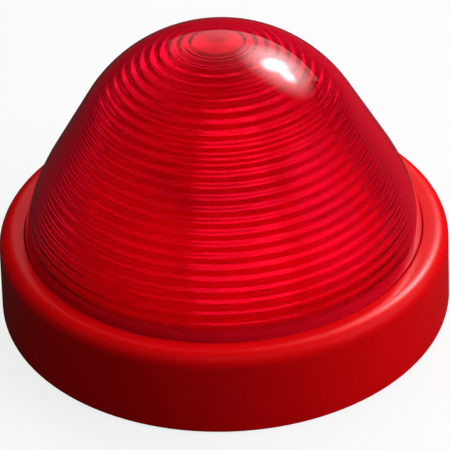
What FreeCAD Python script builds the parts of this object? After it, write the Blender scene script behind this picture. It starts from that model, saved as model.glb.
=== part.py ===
import FreeCAD, Part
import math
import os

V = FreeCAD.Vector
ORIGIN = V(0, 0, 0)
UP = V(0, 0, 1)

# Driving sizes in millimetres and degrees; the wall plane is z = 0 and the lens points along +Z
LAMP_H = 62.4
COLLAR_D = 100.0
COLLAR_H = 18.4
COLLAR_DRAFT = 1.2
COLLAR_WALL = 1.9
COLLAR_EDGE_R = 3.0
COLLAR_LIFT = 0.4
LIP_T = 2.6
LIP_FALL = 0.5
RIM_W = 5.5
SEAM_GAP = 0.15
LIP_EDGE_R = 0.2
COLLAR_FOOT_R = 0.4
BORE_EDGE_R = 0.5

# Lens dome: its wall leans from the foot angle to the cone angle, then a round cap closes it
FOOT_LEAN = 13.5
CONE_LEAN = 32.0
SKIRT_R = 50.0
LENS_WALL = 2.2
EYE_R = 4.8
RIB_PITCH = 2.25
RIB_H = 0.22
FLANGE_T = 2.0
SPIGOT_DEPTH = 3.0
SPIGOT_WALL = 2.0
KEY_W = 5.0
KEY_REACH = 0.9

# Bayonet between the collar and the base
STARTS = 4
LEAD = 24.0
TURN = 45.0
TURN_SPARE = 5.0
LUG_SWEEP = 20.0
STOP_SWEEP = 4.0
RIDGE_H = 1.8
LUG_H = 1.8
BAYONET_REACH = 2.2
RIDGE_Z = 5.0
NIB_SWEEP = 8.0
NIB_H = 1.0
NIB_BITE = 0.7

# Clearances: moving pieces, fixed pieces, depth sunk for joins, overrun of cutters
FIT = 0.3
PLAY = 0.1
SINK = 0.5
OVERCUT = 1.0

# Base moulding
BASE_WALL = 3.2
FLOOR_T = 2.5
SCREW_PITCH = 66.7
SLOT_W = 4.6
SLOT_L = 8.0
SLOT_RIM = 3.0
REAR_RIB_T = 1.6
REAR_RIB_IN_R = 27.0
REAR_RIB_CLEAR = 1.5
REAR_RIBS = (45.0, 90.0, 135.0, 225.0, 270.0, 315.0)
LENS_SEAL_W = 1.4
LENS_SEAL_H = 1.8
LENS_SEAL_SEAT = 0.8
WALL_SEAL_W = 1.4
WALL_SEAL_H = 1.2
SEAL_LAND = 0.6

# Board, its fixing and the reflector over it
BOARD_MARGIN = 6.5
BOARD_T = 1.6
STANDOFF_H = 4.0
STANDOFF_R = 3.2
SCREW_CIRCLE_R = 22.0
SCREW_ANGLES = (90.0, 210.0, 330.0)
SCREW_R = 1.25
SCREW_HEAD_R = 2.8
SCREW_HEAD_H = 1.9
SCREW_BITE = 5.0
CROSS_L = 3.0
CROSS_W = 0.7
CROSS_DEPTH = 0.9
REFLECTOR_T = 1.5
REFLECTOR_RISE = 10.0
REFLECTOR_RIM_RISE = 1.5
REFLECTOR_SHOULDER_R = 28.5
REFLECTOR_SLOPE = 9.0
REFLECTOR_LEAN = 1.2
REFLECTOR_EDGE_R = 2.0
REFLECTOR_BEND_R = 3.0
POST_R = 4.2
DRIVER_R = 5.0

# LED tower and the LEDs in it
TOWER_FLANGE_R = 14.0
TOWER_FLANGE_T = 2.0
TOWER_FOOT_R = 12.5
TOWER_TOP_R = 7.5
TOWER_H = 24.0
TOWER_WALL = 2.0
SIDE_LEDS = 6
SIDE_LED_H = 17.5
LED_R = 2.5
LED_RIM_R = 2.9
LED_RIM_T = 1.0
LED_L = 8.6
LED_SEAT = 1.3
PEG_R = 1.2
PEG_CIRCLE_R = 11.0
LEAD_R = 0.3
LEAD_GAP = 2.54
LEAD_STUB = 1.2
LEAD_TAIL = 1.2

# Terminal block under the board
POLE_PITCH = 5.08
POLES = 2
TERMINAL_PIN_GAP = 2.3
TERMINAL_DEPTH = 9.0
TERMINAL_H = 10.0
TERMINAL_WINDOW_GAP = 1.0
TERMINAL_FLOOR_T = 2.6
TERMINAL_CHAMFER = 1.6
CAGE_W = 3.4
CAGE_H = 3.8
CAGE_DEPTH = 4.4
CAGE_WALL = 0.5
CAGE_INSET = 1.6
CLAMP_SCREW_R = 1.2
CLAMP_HEAD_R = 1.7
CLAMP_HEAD_H = 1.6
CLAMP_HEAD_SINK = 0.8
CLAMP_SLOT_W = 0.5
CLAMP_SLOT_DEPTH = 0.7

# Parts on the board, at a radius and an angle each
PARTS_CIRCLE_R = 20.5
RESISTOR_ANGLES = (0.0, 30.0, 60.0)
RESISTOR_R = 1.2
RESISTOR_L = 6.6
RESISTOR_CUFF = 1.8
RESISTOR_WAIST = 0.2
RESISTOR_SPAN = 10.0
BRIDGE_ANGLE = 131.0
BRIDGE_L = 8.4
BRIDGE_W = 6.2
BRIDGE_H = 3.2
BRIDGE_TAPER = 0.4
BRIDGE_STAND = 0.5
BRIDGE_PIN_GAP = 5.1
BRIDGE_PIN_SPLAY = 0.9
CAPACITOR_ANGLE = 270.0
CAPACITOR_GAP = 1.2
CAPACITOR_R = 3.15
CAPACITOR_H = 7.4
CRIMP_Z = 1.4
CRIMP_W = 0.8
CRIMP_DEPTH = 0.3
ABSORBER_ANGLE = 171.0
ABSORBER_R = 3.2
ABSORBER_T = 3.0
ABSORBER_STAND = 1.4
ABSORBER_LEAD_GAP = 5.0

# Collar and lens heights, from the crest down
COLLAR_R = COLLAR_D / 2
CREST_R = COLLAR_R - COLLAR_DRAFT
BORE_R = CREST_R - COLLAR_WALL
FOOT_R = CREST_R - RIM_W
LIP_R = FOOT_R + SEAM_GAP
LIP_LOW = COLLAR_H - LIP_T
FLANGE_TOP = LIP_LOW - FIT
FLANGE_LOW = FLANGE_TOP - FLANGE_T
FLANGE_R = BORE_R - FIT
FOOT_Z = COLLAR_H - LIP_FALL

# Base heights and radii, from the lens and the bayonet
LENS_SEAL_TOP = FLANGE_LOW - FIT
BASE_TOP = LENS_SEAL_TOP - LENS_SEAL_H + LENS_SEAL_SEAT
RIDGE_SWEEP = TURN - TURN_SPARE
LUG_R = BORE_R - BAYONET_REACH
RIDGE_R = BORE_R - FIT
BASE_OUT_R = LUG_R - FIT
BASE_IN_R = BASE_OUT_R - BASE_WALL
SPIGOT_R = BASE_IN_R - FIT
SPIGOT_IN_R = SPIGOT_R - SPIGOT_WALL
SPIGOT_LOW = FLANGE_LOW - SPIGOT_DEPTH
FLOOR_TOP = SPIGOT_LOW - 2 * FIT
FLOOR_LOW = FLOOR_TOP - FLOOR_T
BOARD_LOW = FLOOR_TOP + STANDOFF_H
BOARD_TOP = BOARD_LOW + BOARD_T
BOARD_R = PARTS_CIRCLE_R + BOARD_MARGIN
SCREW_X = SCREW_PITCH / 2

# Reflector surface: a skirt up from the floor, then a shallow cone up to the tower
REFLECTOR_FOOT_R = SPIGOT_IN_R - 2 * FIT
REFLECTOR_EDGE = REFLECTOR_FOOT_R - REFLECTOR_LEAN
REFLECTOR_EDGE_Z = BOARD_TOP + REFLECTOR_RIM_RISE
REFLECTOR_SHOULDER_Z = BOARD_TOP + REFLECTOR_RISE
REFLECTOR_HOLE_R = TOWER_FOOT_R + FIT
REFLECTOR_CLIMB = math.tan(math.radians(REFLECTOR_SLOPE))
SCREW_SEAT_RUN = REFLECTOR_SHOULDER_R - SCREW_CIRCLE_R - SCREW_HEAD_R
SCREW_SEAT_Z = REFLECTOR_SHOULDER_Z + SCREW_SEAT_RUN * REFLECTOR_CLIMB - SINK

# Lens surface: the cap radius follows from the height, the foot and the two leans
FOOT_A = math.radians(FOOT_LEAN)
CONE_A = math.radians(CONE_LEAN)
SKIRT_X = FOOT_R - SKIRT_R * math.cos(FOOT_A)
SKIRT_Z = FOOT_Z - SKIRT_R * math.sin(FOOT_A)
SHOULDER_R = SKIRT_X + SKIRT_R * math.cos(CONE_A)
SHOULDER_Z = SKIRT_Z + SKIRT_R * math.sin(CONE_A)
CAP_R = (SHOULDER_Z + SHOULDER_R / math.tan(CONE_A) - LAMP_H) / (1 / math.sin(CONE_A) - 1)
CAP_Z = LAMP_H - CAP_R
CAP_FOOT_Z = CAP_Z + CAP_R * math.sin(CONE_A)
CONE_L = (CAP_FOOT_Z - SHOULDER_Z) / math.cos(CONE_A)

# LED tower slant and the depth of a leg's tail under the board's top
TOWER_A = math.atan((TOWER_FOOT_R - TOWER_TOP_R) / (TOWER_H - TOWER_FLANGE_T))
TAIL_Z = -BOARD_T - LEAD_TAIL

# Terminal block: its pins clear the tower, and from the board down come floor, cage and screw
CAGE_Y = -TOWER_FLANGE_R - TERMINAL_PIN_GAP
TERMINAL_W = (POLES + 0.2) * POLE_PITCH
TERMINAL_FRONT = CAGE_Y + CAGE_DEPTH / 2 + CAGE_INSET
TERMINAL_BACK = TERMINAL_FRONT - TERMINAL_DEPTH
TERMINAL_LOW = BOARD_LOW - TERMINAL_H
CAPACITOR_CIRCLE_R = CAPACITOR_GAP - TERMINAL_BACK
CAGE_HIGH = BOARD_LOW - TERMINAL_FLOOR_T
CAGE_LOW = CAGE_HIGH - CAGE_H
CLAMP_HEAD_LOW = TERMINAL_LOW + CLAMP_HEAD_SINK
CLAMP_SEAT_Z = CLAMP_HEAD_LOW + CLAMP_HEAD_H


def rounded_wire(points):
    """Closed wire in the XZ plane through (r, z) or (r, z, rounding) corners."""
    flat = [V(p[0], 0, p[1]) for p in points]
    edges = []
    starts = []
    ends = []
    for i, point in enumerate(points):
        here = flat[i]
        back = (flat[i - 1] - here).normalize()
        ahead = (flat[(i + 1) % len(flat)] - here).normalize()
        rounding = point[2] if len(point) > 2 else 0
        if rounding == 0:
            starts.append(here)
            ends.append(here)
            continue
        half = back.getAngle(ahead) / 2
        reach = rounding / math.tan(half)
        middle = (back + ahead).normalize() * (rounding / math.sin(half) - rounding)
        starts.append(here + back * reach)
        ends.append(here + ahead * reach)
        edges.append(Part.Arc(starts[-1], here + middle, ends[-1]).toShape())
    for i in range(len(flat)):
        follows = starts[(i + 1) % len(flat)]
        if ends[i].distanceToPoint(follows) > 1e-6:
            edges.append(Part.makeLine(ends[i], follows))
    return Part.Wire(Part.__sortEdges__(edges))


def turned(points, sweep=360.0, start=0.0):
    """Solid of revolution about Z, or a sector of one that starts at an angle."""
    solid = Part.Face(rounded_wire(points)).revolve(ORIGIN, UP, sweep)
    solid.rotate(ORIGIN, UP, start)
    return solid


def ring(inner, outer, low, high, sweep=360.0, start=0.0):
    """Plain ring or ring sector."""
    return turned([(inner, low), (outer, low), (outer, high), (inner, high)], sweep, start)


def rod(radius, low, high, x=0.0, y=0.0):
    """Upright cylinder."""
    return Part.makeCylinder(radius, high - low, V(x, y, low), UP)


def block(width, depth, low, high, x=0.0, y=0.0):
    """Upright box, centred on x and y."""
    return Part.makeBox(width, depth, high - low, V(x - width / 2, y - depth / 2, low))


def stadium(length, width, low, high, x):
    """Upright prism with round ends that runs along X."""
    reach = (length - width) / 2
    ends = [rod(width / 2, low, high, x + side * reach) for side in (-1, 1)]
    return ends[0].fuse([ends[1], block(2 * reach, width, low, high, x)]).removeSplitter()


def polar(radius, angle):
    """X and y of a point at a radius and an angle."""
    turn = math.radians(angle)
    return radius * math.cos(turn), radius * math.sin(turn)


def spun(shape, angle):
    """Copy of a shape turned about Z."""
    copy = shape.copy()
    copy.rotate(ORIGIN, UP, angle)
    return copy


def helical_bar(inner, outer, low, height, start, sweep):
    """Bar that climbs with the bayonet's lead, from an angle over a sweep."""
    path = Part.makeHelix(LEAD, LEAD * sweep / 360, inner)
    corners = [V(inner, 0, 0), V(outer, 0, 0), V(outer, 0, height), V(inner, 0, height), V(inner, 0, 0)]
    bar = Part.Wire(path.Edges).makePipeShell([Part.makePolygon(corners)], True, True)
    bar.translate(V(0, 0, low))
    bar.rotate(ORIGIN, UP, start)
    return Part.Solid(bar) if bar.ShapeType == "Shell" else bar


def wire_lead(points):
    """Round wire through points, with a ball at each bend."""
    pieces = []
    for first, second in zip(points, points[1:]):
        span = second - first
        pieces.append(Part.makeCylinder(LEAD_R, span.Length, first, span))
    for bend in points[1:-1]:
        pieces.append(Part.makeSphere(LEAD_R, bend))
    return pieces[0].fuse(pieces[1:]).removeSplitter() if len(pieces) > 1 else pieces[0]


def lens_point(run, depth):
    """Point in the lens wall: a run from the apex along the inner face, a depth below the outer face."""
    cap_run = (CAP_R - LENS_WALL) * (math.pi / 2 - CONE_A)
    if run <= cap_run:
        lean = math.pi / 2 - run / (CAP_R - LENS_WALL)
        return V((CAP_R - depth) * math.cos(lean), 0, CAP_Z + (CAP_R - depth) * math.sin(lean))
    if run <= cap_run + CONE_L:
        slide = run - cap_run
        radius = (CAP_R - depth) * math.cos(CONE_A) + slide * math.sin(CONE_A)
        return V(radius, 0, CAP_Z + (CAP_R - depth) * math.sin(CONE_A) - slide * math.cos(CONE_A))
    lean = CONE_A - (run - cap_run - CONE_L) / (SKIRT_R - LENS_WALL)
    reach = SKIRT_R - depth
    return V(SKIRT_X + reach * math.cos(lean), 0, SKIRT_Z + reach * math.sin(lean))


def lens_inner_run():
    """Length of the inner face from the apex to the foot."""
    cap_run = (CAP_R - LENS_WALL) * (math.pi / 2 - CONE_A)
    return cap_run + CONE_L + (SKIRT_R - LENS_WALL) * (CONE_A - FOOT_A)


def wave_arc(*places):
    """Arc on the ribbed face through three places, each a count of pitches from the eye and a rise."""
    points = [lens_point(EYE_R + pitches * RIB_PITCH, LENS_WALL + rise) for pitches, rise in places]
    return Part.Arc(*points).toShape()


def lens_dome():
    """Red dome: smooth outside, wave-shaped rings inside, flange and keyed spigot at the foot."""
    foot = V(FOOT_R, 0, FOOT_Z)
    shoulder = V(SHOULDER_R, 0, SHOULDER_Z)
    cap_foot = V(CAP_R * math.cos(CONE_A), 0, CAP_FOOT_Z)
    skirt_mid_a = (FOOT_A + CONE_A) / 2
    skirt_mid = V(SKIRT_X + SKIRT_R * math.cos(skirt_mid_a), 0, SKIRT_Z + SKIRT_R * math.sin(skirt_mid_a))
    cap_mid_a = (CONE_A + math.pi / 2) / 2
    cap_mid = V(CAP_R * math.cos(cap_mid_a), 0, CAP_Z + CAP_R * math.sin(cap_mid_a))
    outside = [
        Part.Arc(V(0, 0, LAMP_H), cap_mid, cap_foot).toShape(),
        Part.makeLine(cap_foot, shoulder),
        Part.Arc(shoulder, skirt_mid, foot).toShape(),
    ]
    rib_count = int((lens_inner_run() - EYE_R) / RIB_PITCH)
    wave_r = ((RIB_PITCH / 4) ** 2 + (RIB_H / 2) ** 2) / RIB_H
    low_rise = wave_r - math.sqrt(wave_r ** 2 - (RIB_PITCH / 8) ** 2)
    ribs = [wave_arc((0, 0), (1 / 8, low_rise), (1 / 4, RIB_H / 2))]
    for i in range(rib_count):
        ribs.append(wave_arc((i + 1 / 4, RIB_H / 2), (i + 1 / 2, RIB_H), (i + 3 / 4, RIB_H / 2)))
    for i in range(1, rib_count):
        ribs.append(wave_arc((i - 1 / 4, RIB_H / 2), (i, 0), (i + 1 / 4, RIB_H / 2)))
    ribs.append(wave_arc((rib_count - 1 / 4, RIB_H / 2), (rib_count - 1 / 8, low_rise), (rib_count, 0)))
    eye = lens_point(EYE_R, LENS_WALL)
    last = lens_point(EYE_R + rib_count * RIB_PITCH, LENS_WALL)
    corners = [
        foot,
        V(FOOT_R, 0, FLANGE_TOP),
        V(FLANGE_R, 0, FLANGE_TOP),
        V(FLANGE_R, 0, FLANGE_LOW),
        V(SPIGOT_R, 0, FLANGE_LOW),
        V(SPIGOT_R, 0, SPIGOT_LOW),
        V(SPIGOT_IN_R, 0, SPIGOT_LOW),
        V(SPIGOT_IN_R, 0, FLANGE_TOP),
        last,
    ]
    below = Part.makePolygon(corners).Edges
    inside = [Part.makeLine(V(0, 0, eye.z), eye), Part.makeLine(V(0, 0, eye.z), V(0, 0, LAMP_H))]
    outline = Part.Wire(Part.__sortEdges__(outside + below + ribs + inside))
    dome = Part.Face(outline).revolve(ORIGIN, UP, 360)
    key_depth = KEY_REACH + SINK
    key = block(key_depth, KEY_W, SPIGOT_LOW, FLANGE_LOW + SINK, SPIGOT_R + KEY_REACH - key_depth / 2)
    return dome.fuse([spun(key, 90), spun(key, 270)]).removeSplitter()


def collar():
    """Opaque ring with a rounded crest, bayonet lugs and snap nibs under the lens flange."""
    ring_body = turned([
        (BORE_R, COLLAR_LIFT),
        (COLLAR_R, COLLAR_LIFT, COLLAR_FOOT_R),
        (CREST_R, COLLAR_H, COLLAR_EDGE_R),
        (CREST_R - COLLAR_EDGE_R, COLLAR_H),
        (LIP_R, COLLAR_H - LIP_FALL, LIP_EDGE_R),
        (LIP_R, LIP_LOW),
        (BORE_R, LIP_LOW, BORE_EDGE_R),
    ])
    extras = []
    lug_low = RIDGE_Z - FIT - LUG_H
    nib_r = FLANGE_R - NIB_BITE
    nib_high = FLANGE_LOW - FIT
    for i in range(STARTS):
        start = i * 360 / STARTS
        extras.append(helical_bar(LUG_R, BORE_R + SINK, lug_low, LUG_H, start, LUG_SWEEP))
        nib_start = start + (360 / STARTS + LUG_SWEEP - NIB_SWEEP) / 2
        extras.append(ring(nib_r, BORE_R + SINK, nib_high - NIB_H, nib_high, NIB_SWEEP, nib_start))
    return ring_body.fuse(extras).removeSplitter()


def bayonet_ridges():
    """Helical ridges with a stop at the low end of each, for the outside of the base wall."""
    pieces = []
    root = BASE_OUT_R - SINK
    stop_gap = math.degrees(FIT / LUG_R)
    for i in range(STARTS):
        start = i * 360 / STARTS - stop_gap
        low = RIDGE_Z - LEAD * stop_gap / 360
        pieces.append(helical_bar(root, RIDGE_R, low, RIDGE_H, start, RIDGE_SWEEP))
        stop_low = RIDGE_Z - FIT - LUG_H
        pieces.append(ring(root, RIDGE_R, stop_low, low + RIDGE_H, STOP_SWEEP, start - STOP_SWEEP))
    return pieces


def seal_groove(width):
    """Inner and outer radius of a seal groove, set in from the outside of the base wall."""
    outer = BASE_OUT_R - SEAL_LAND
    return outer - width - 2 * PLAY, outer


def base_housing():
    """Round base: wall, floor, screw slots, standoffs, rear ribs, ridges and seal grooves."""
    parts = [rod(BASE_IN_R + SINK, FLOOR_LOW, FLOOR_TOP)]
    cuts = []
    for side in (-1, 1):
        x = side * SCREW_X
        parts.append(stadium(SLOT_L + 2 * SLOT_RIM, SLOT_W + 2 * SLOT_RIM, 0, FLOOR_TOP, x))
        cuts.append(stadium(SLOT_L, SLOT_W, -OVERCUT, FLOOR_TOP + OVERCUT, x))
    for angle in REAR_RIBS:
        length = BASE_IN_R + SINK - REAR_RIB_IN_R
        rib = block(length, REAR_RIB_T, REAR_RIB_CLEAR, FLOOR_LOW + SINK, REAR_RIB_IN_R + length / 2)
        parts.append(spun(rib, angle))
    for angle in SCREW_ANGLES:
        x, y = polar(SCREW_CIRCLE_R, angle)
        parts.append(rod(STANDOFF_R, FLOOR_TOP - SINK, BOARD_LOW, x, y))
        cuts.append(rod(SCREW_R + PLAY, BOARD_LOW - SCREW_BITE - PLAY, BOARD_LOW + OVERCUT, x, y))
    window_w = TERMINAL_W + 2 * TERMINAL_WINDOW_GAP
    window_d = TERMINAL_DEPTH + 2 * TERMINAL_WINDOW_GAP
    middle = (TERMINAL_FRONT + TERMINAL_BACK) / 2
    cuts.append(block(window_w, window_d, FLOOR_LOW - OVERCUT, FLOOR_TOP + OVERCUT, 0, middle))
    groove_in, groove_out = seal_groove(LENS_SEAL_W)
    cuts.append(ring(groove_in, groove_out, BASE_TOP - LENS_SEAL_SEAT, BASE_TOP + OVERCUT))
    groove_in, groove_out = seal_groove(WALL_SEAL_W)
    cuts.append(ring(groove_in, groove_out, -OVERCUT, WALL_SEAL_H))
    notch_out = SPIGOT_R + KEY_REACH + FIT
    notch_in = BASE_IN_R - SINK
    middle = (notch_out + notch_in) / 2
    notch = block(notch_out - notch_in, KEY_W + 2 * FIT, FLOOR_TOP, BASE_TOP + OVERCUT, middle)
    cuts.extend([spun(notch, 90), spun(notch, 270)])
    wall = ring(BASE_IN_R, BASE_OUT_R, 0, BASE_TOP)
    return wall.fuse(parts + bayonet_ridges()).cut(cuts).removeSplitter()


def lens_gasket():
    """Seal under the lens flange, round on top."""
    inner, outer = seal_groove(LENS_SEAL_W)
    low = BASE_TOP - LENS_SEAL_SEAT
    crown = LENS_SEAL_W / 3
    return turned([
        (inner + PLAY, low),
        (outer - PLAY, low),
        (outer - PLAY, LENS_SEAL_TOP, crown),
        (inner + PLAY, LENS_SEAL_TOP, crown),
    ])


def wall_gasket():
    """Seal in the rear of the base, flush with the wall plane."""
    inner, outer = seal_groove(WALL_SEAL_W)
    return ring(inner + PLAY, outer - PLAY, 0, WALL_SEAL_H)


def tower_radius(height):
    """Outer radius of the LED tower at a height over the board."""
    share = (height - TOWER_FLANGE_T) / (TOWER_H - TOWER_FLANGE_T)
    return TOWER_FOOT_R + (TOWER_TOP_R - TOWER_FOOT_R) * share


def aimed(shape):
    """Copies of a shape built along +Z, one for each LED on the side of the tower."""
    seat_r = tower_radius(SIDE_LED_H) - LED_SEAT * math.cos(TOWER_A)
    seat_z = BOARD_TOP + SIDE_LED_H - LED_SEAT * math.sin(TOWER_A)
    copies = []
    for i in range(SIDE_LEDS):
        copy = shape.copy()
        copy.rotate(ORIGIN, V(0, 1, 0), 90 - math.degrees(TOWER_A))
        copy.translate(V(seat_r, 0, seat_z))
        copies.append(spun(copy, i * 360 / SIDE_LEDS))
    return copies


def lifted(shape):
    """Copy of a shape built along +Z, set in the top of the tower."""
    copy = shape.copy()
    copy.translate(V(0, 0, BOARD_TOP + TOWER_H - LED_SEAT))
    return copy


def led():
    """Round LED along +Z, seated on the front of its rim at z = 0."""
    tip = LED_L - LED_RIM_T
    return turned([
        (0, -LED_RIM_T),
        (LED_RIM_R, -LED_RIM_T),
        (LED_RIM_R, 0),
        (LED_R, 0),
        (LED_R, tip, LED_R),
        (0, tip),
    ])


def led_tower():
    """Hollow white cone on the board with a seat for each LED and two pegs."""
    slant = TOWER_WALL / math.cos(TOWER_A)
    low = BOARD_TOP
    high = BOARD_TOP + TOWER_H
    body = turned([
        (TOWER_FOOT_R - slant, low),
        (TOWER_FLANGE_R, low),
        (TOWER_FLANGE_R, low + TOWER_FLANGE_T),
        (TOWER_FOOT_R, low + TOWER_FLANGE_T),
        (TOWER_TOP_R, high, 1.0),
        (0, high),
        (0, high - TOWER_WALL),
        (TOWER_TOP_R - slant, high - TOWER_WALL),
    ])
    hole = rod(LED_R + PLAY, -LED_RIM_T, LED_L)
    seat = rod(LED_RIM_R + PLAY, -LED_L / 2, 0)
    cutter = hole.fuse(seat)
    pegs = [rod(PEG_R, BOARD_LOW, low + SINK, *polar(PEG_CIRCLE_R, angle)) for angle in (0, 180)]
    return body.fuse(pegs).cut(aimed(cutter) + [lifted(cutter)]).removeSplitter()


def led_lead_points():
    """Bend points of every LED leg, from the back of its LED to its tail under the board."""
    tail = BOARD_LOW - LEAD_TAIL
    seat_r = tower_radius(SIDE_LED_H) - LED_SEAT * math.cos(TOWER_A)
    seat_z = BOARD_TOP + SIDE_LED_H - LED_SEAT * math.sin(TOWER_A)
    paths = []
    for i in range(SIDE_LEDS):
        for side in (-1, 1):
            path = []
            for back in (LED_RIM_T, LED_RIM_T + LEAD_STUB):
                radius = seat_r - back * math.cos(TOWER_A)
                path.append(V(radius, side * LEAD_GAP / 2, seat_z - back * math.sin(TOWER_A)))
            path.append(V(path[-1].x, path[-1].y, tail))
            rotation = FreeCAD.Rotation(UP, i * 360 / SIDE_LEDS)
            paths.append([rotation.multVec(point) for point in path])
    top = BOARD_TOP + TOWER_H - LED_SEAT - LED_RIM_T
    for side in (-1, 1):
        paths.append([V(0, side * LEAD_GAP / 2, top), V(0, side * LEAD_GAP / 2, tail)])
    return paths


def inner_corner(before, corner, after, depth):
    """Corner of a wall's inner face, at one depth under both runs of its outer face."""
    normals = []
    for start, end in ((before, corner), (corner, after)):
        length = math.hypot(end[0] - start[0], end[1] - start[1])
        normals.append(((start[1] - end[1]) / length, (end[0] - start[0]) / length))
    (r1, z1), (r2, z2) = normals
    share = depth / (1 + r1 * r2 + z1 * z2)
    return corner[0] + share * (r1 + r2), corner[1] + share * (z1 + z2)


def reflector():
    """White dish over the board: screw posts, wall screw openings, a hole that passes over the LEDs."""
    hole_z = REFLECTOR_SHOULDER_Z + (REFLECTOR_SHOULDER_R - REFLECTOR_HOLE_R) * REFLECTOR_CLIMB
    foot = (REFLECTOR_FOOT_R, FLOOR_TOP)
    edge = (REFLECTOR_EDGE, REFLECTOR_EDGE_Z)
    shoulder = (REFLECTOR_SHOULDER_R, REFLECTOR_SHOULDER_Z)
    hole = (REFLECTOR_HOLE_R, hole_z)
    under_edge = inner_corner(foot, edge, shoulder, REFLECTOR_T)
    under_shoulder = inner_corner(edge, shoulder, hole, REFLECTOR_T)
    cover = turned([
        (REFLECTOR_FOOT_R - REFLECTOR_T, FLOOR_TOP),
        foot,
        (*edge, REFLECTOR_EDGE_R),
        (*shoulder, REFLECTOR_BEND_R),
        hole,
        (REFLECTOR_HOLE_R, hole_z - REFLECTOR_T),
        (*under_shoulder, REFLECTOR_BEND_R - REFLECTOR_T),
        (*under_edge, REFLECTOR_EDGE_R - REFLECTOR_T),
    ])
    posts = []
    cuts = []
    for angle in SCREW_ANGLES:
        x, y = polar(SCREW_CIRCLE_R, angle)
        posts.append(rod(POST_R, BOARD_TOP, SCREW_SEAT_Z, x, y))
        cuts.append(rod(SCREW_HEAD_R + 2 * PLAY, SCREW_SEAT_Z, hole_z + OVERCUT, x, y))
        cuts.append(rod(SCREW_R + 2 * PLAY, BOARD_TOP - OVERCUT, hole_z, x, y))
    for side in (-1, 1):
        x = side * SCREW_X
        cuts.append(rod(DRIVER_R, FLOOR_TOP - OVERCUT, hole_z, x))
        outward = REFLECTOR_FOOT_R + OVERCUT - SCREW_X
        way_x = side * (SCREW_X + outward / 2)
        cuts.append(block(outward, 2 * DRIVER_R, FLOOR_TOP - OVERCUT, hole_z, way_x))
    nose_l = LED_L - LED_RIM_T - LED_SEAT - LED_R
    nose_r = tower_radius(SIDE_LED_H) + nose_l * math.cos(TOWER_A)
    for i in range(SIDE_LEDS):
        x, y = polar(nose_r, i * 360 / SIDE_LEDS)
        cuts.append(rod(LED_R + FIT, REFLECTOR_EDGE_Z, hole_z + OVERCUT, x, y))
    return cover.fuse(posts).cut(cuts).removeSplitter()


def board_screws():
    """Three cross-recessed pan-head screws from the reflector down into the standoffs."""
    screws = []
    tip = BOARD_LOW - SCREW_BITE
    for angle in SCREW_ANGLES:
        x, y = polar(SCREW_CIRCLE_R, angle)
        screw = turned([
            (0, tip),
            (SCREW_R, tip, SCREW_R / 2),
            (SCREW_R, SCREW_SEAT_Z),
            (SCREW_HEAD_R, SCREW_SEAT_Z),
            (SCREW_HEAD_R, SCREW_SEAT_Z + SCREW_HEAD_H, SCREW_HEAD_H * 0.6),
            (0, SCREW_SEAT_Z + SCREW_HEAD_H),
        ])
        head_top = SCREW_SEAT_Z + SCREW_HEAD_H
        for width, depth in ((CROSS_L, CROSS_W), (CROSS_W, CROSS_L)):
            screw = screw.cut(block(width, depth, head_top - CROSS_DEPTH, head_top + OVERCUT))
        screw.translate(V(x, y, 0))
        screws.append(screw)
    return Part.makeCompound(screws)


def pole_positions():
    """X of each pole of the terminal block."""
    return [(i - (POLES - 1) / 2) * POLE_PITCH for i in range(POLES)]


def terminal_block():
    """Two-pole block: wire mouths towards the centre, screw wells towards the wall."""
    outline = [
        (TERMINAL_FRONT, TERMINAL_LOW),
        (TERMINAL_FRONT, BOARD_LOW),
        (TERMINAL_BACK, BOARD_LOW),
        (TERMINAL_BACK, TERMINAL_LOW + TERMINAL_CHAMFER),
        (TERMINAL_BACK + TERMINAL_CHAMFER, TERMINAL_LOW),
        (TERMINAL_FRONT, TERMINAL_LOW),
    ]
    side = Part.Face(Part.makePolygon([V(-TERMINAL_W / 2, y, z) for y, z in outline]))
    body = side.extrude(V(TERMINAL_W, 0, 0))
    mouth = CAGE_INSET + CAGE_DEPTH + PLAY
    cuts = []
    for x in pole_positions():
        middle = TERMINAL_FRONT - mouth / 2
        cuts.append(block(CAGE_W + 2 * PLAY, mouth, CAGE_LOW - PLAY, CAGE_HIGH, x, middle))
        cuts.append(rod(CLAMP_HEAD_R + 2 * PLAY, TERMINAL_LOW - OVERCUT, CLAMP_SEAT_Z, x, CAGE_Y))
        cuts.append(rod(CLAMP_SCREW_R + PLAY, TERMINAL_LOW, CAGE_LOW, x, CAGE_Y))
        cuts.append(rod(2 * LEAD_R + PLAY, CAGE_HIGH - OVERCUT, BOARD_LOW + OVERCUT, x, CAGE_Y))
    return body.cut(cuts).removeSplitter()


def terminal_cages():
    """Square clamp cages, one for each pole."""
    cages = []
    for x in pole_positions():
        shell = block(CAGE_W, CAGE_DEPTH, CAGE_LOW, CAGE_HIGH, x, CAGE_Y)
        thread_top = CAGE_LOW + 2 * CAGE_WALL
        inner = block(CAGE_W - 2 * CAGE_WALL, CAGE_DEPTH, thread_top, CAGE_HIGH - CAGE_WALL, x, CAGE_Y)
        hole = rod(CLAMP_SCREW_R + PLAY, CAGE_LOW - OVERCUT, thread_top, x, CAGE_Y)
        cages.append(shell.cut([inner, hole]))
    return Part.makeCompound(cages)


def terminal_screws():
    """Clamp screws, heads towards the wall."""
    screws = []
    for x in pole_positions():
        shank = rod(CLAMP_SCREW_R, CLAMP_SEAT_Z - SINK, CAGE_LOW + 3 * CAGE_WALL, x, CAGE_Y)
        head = rod(CLAMP_HEAD_R, CLAMP_HEAD_LOW, CLAMP_SEAT_Z, x, CAGE_Y)
        slot_l = 2 * (CLAMP_HEAD_R + OVERCUT)
        slot_high = CLAMP_HEAD_LOW + CLAMP_SLOT_DEPTH
        slot = block(CLAMP_SLOT_W, slot_l, CLAMP_HEAD_LOW - OVERCUT, slot_high, x, CAGE_Y)
        screws.append(head.fuse(shank).cut(slot).removeSplitter())
    return Part.makeCompound(screws)


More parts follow.
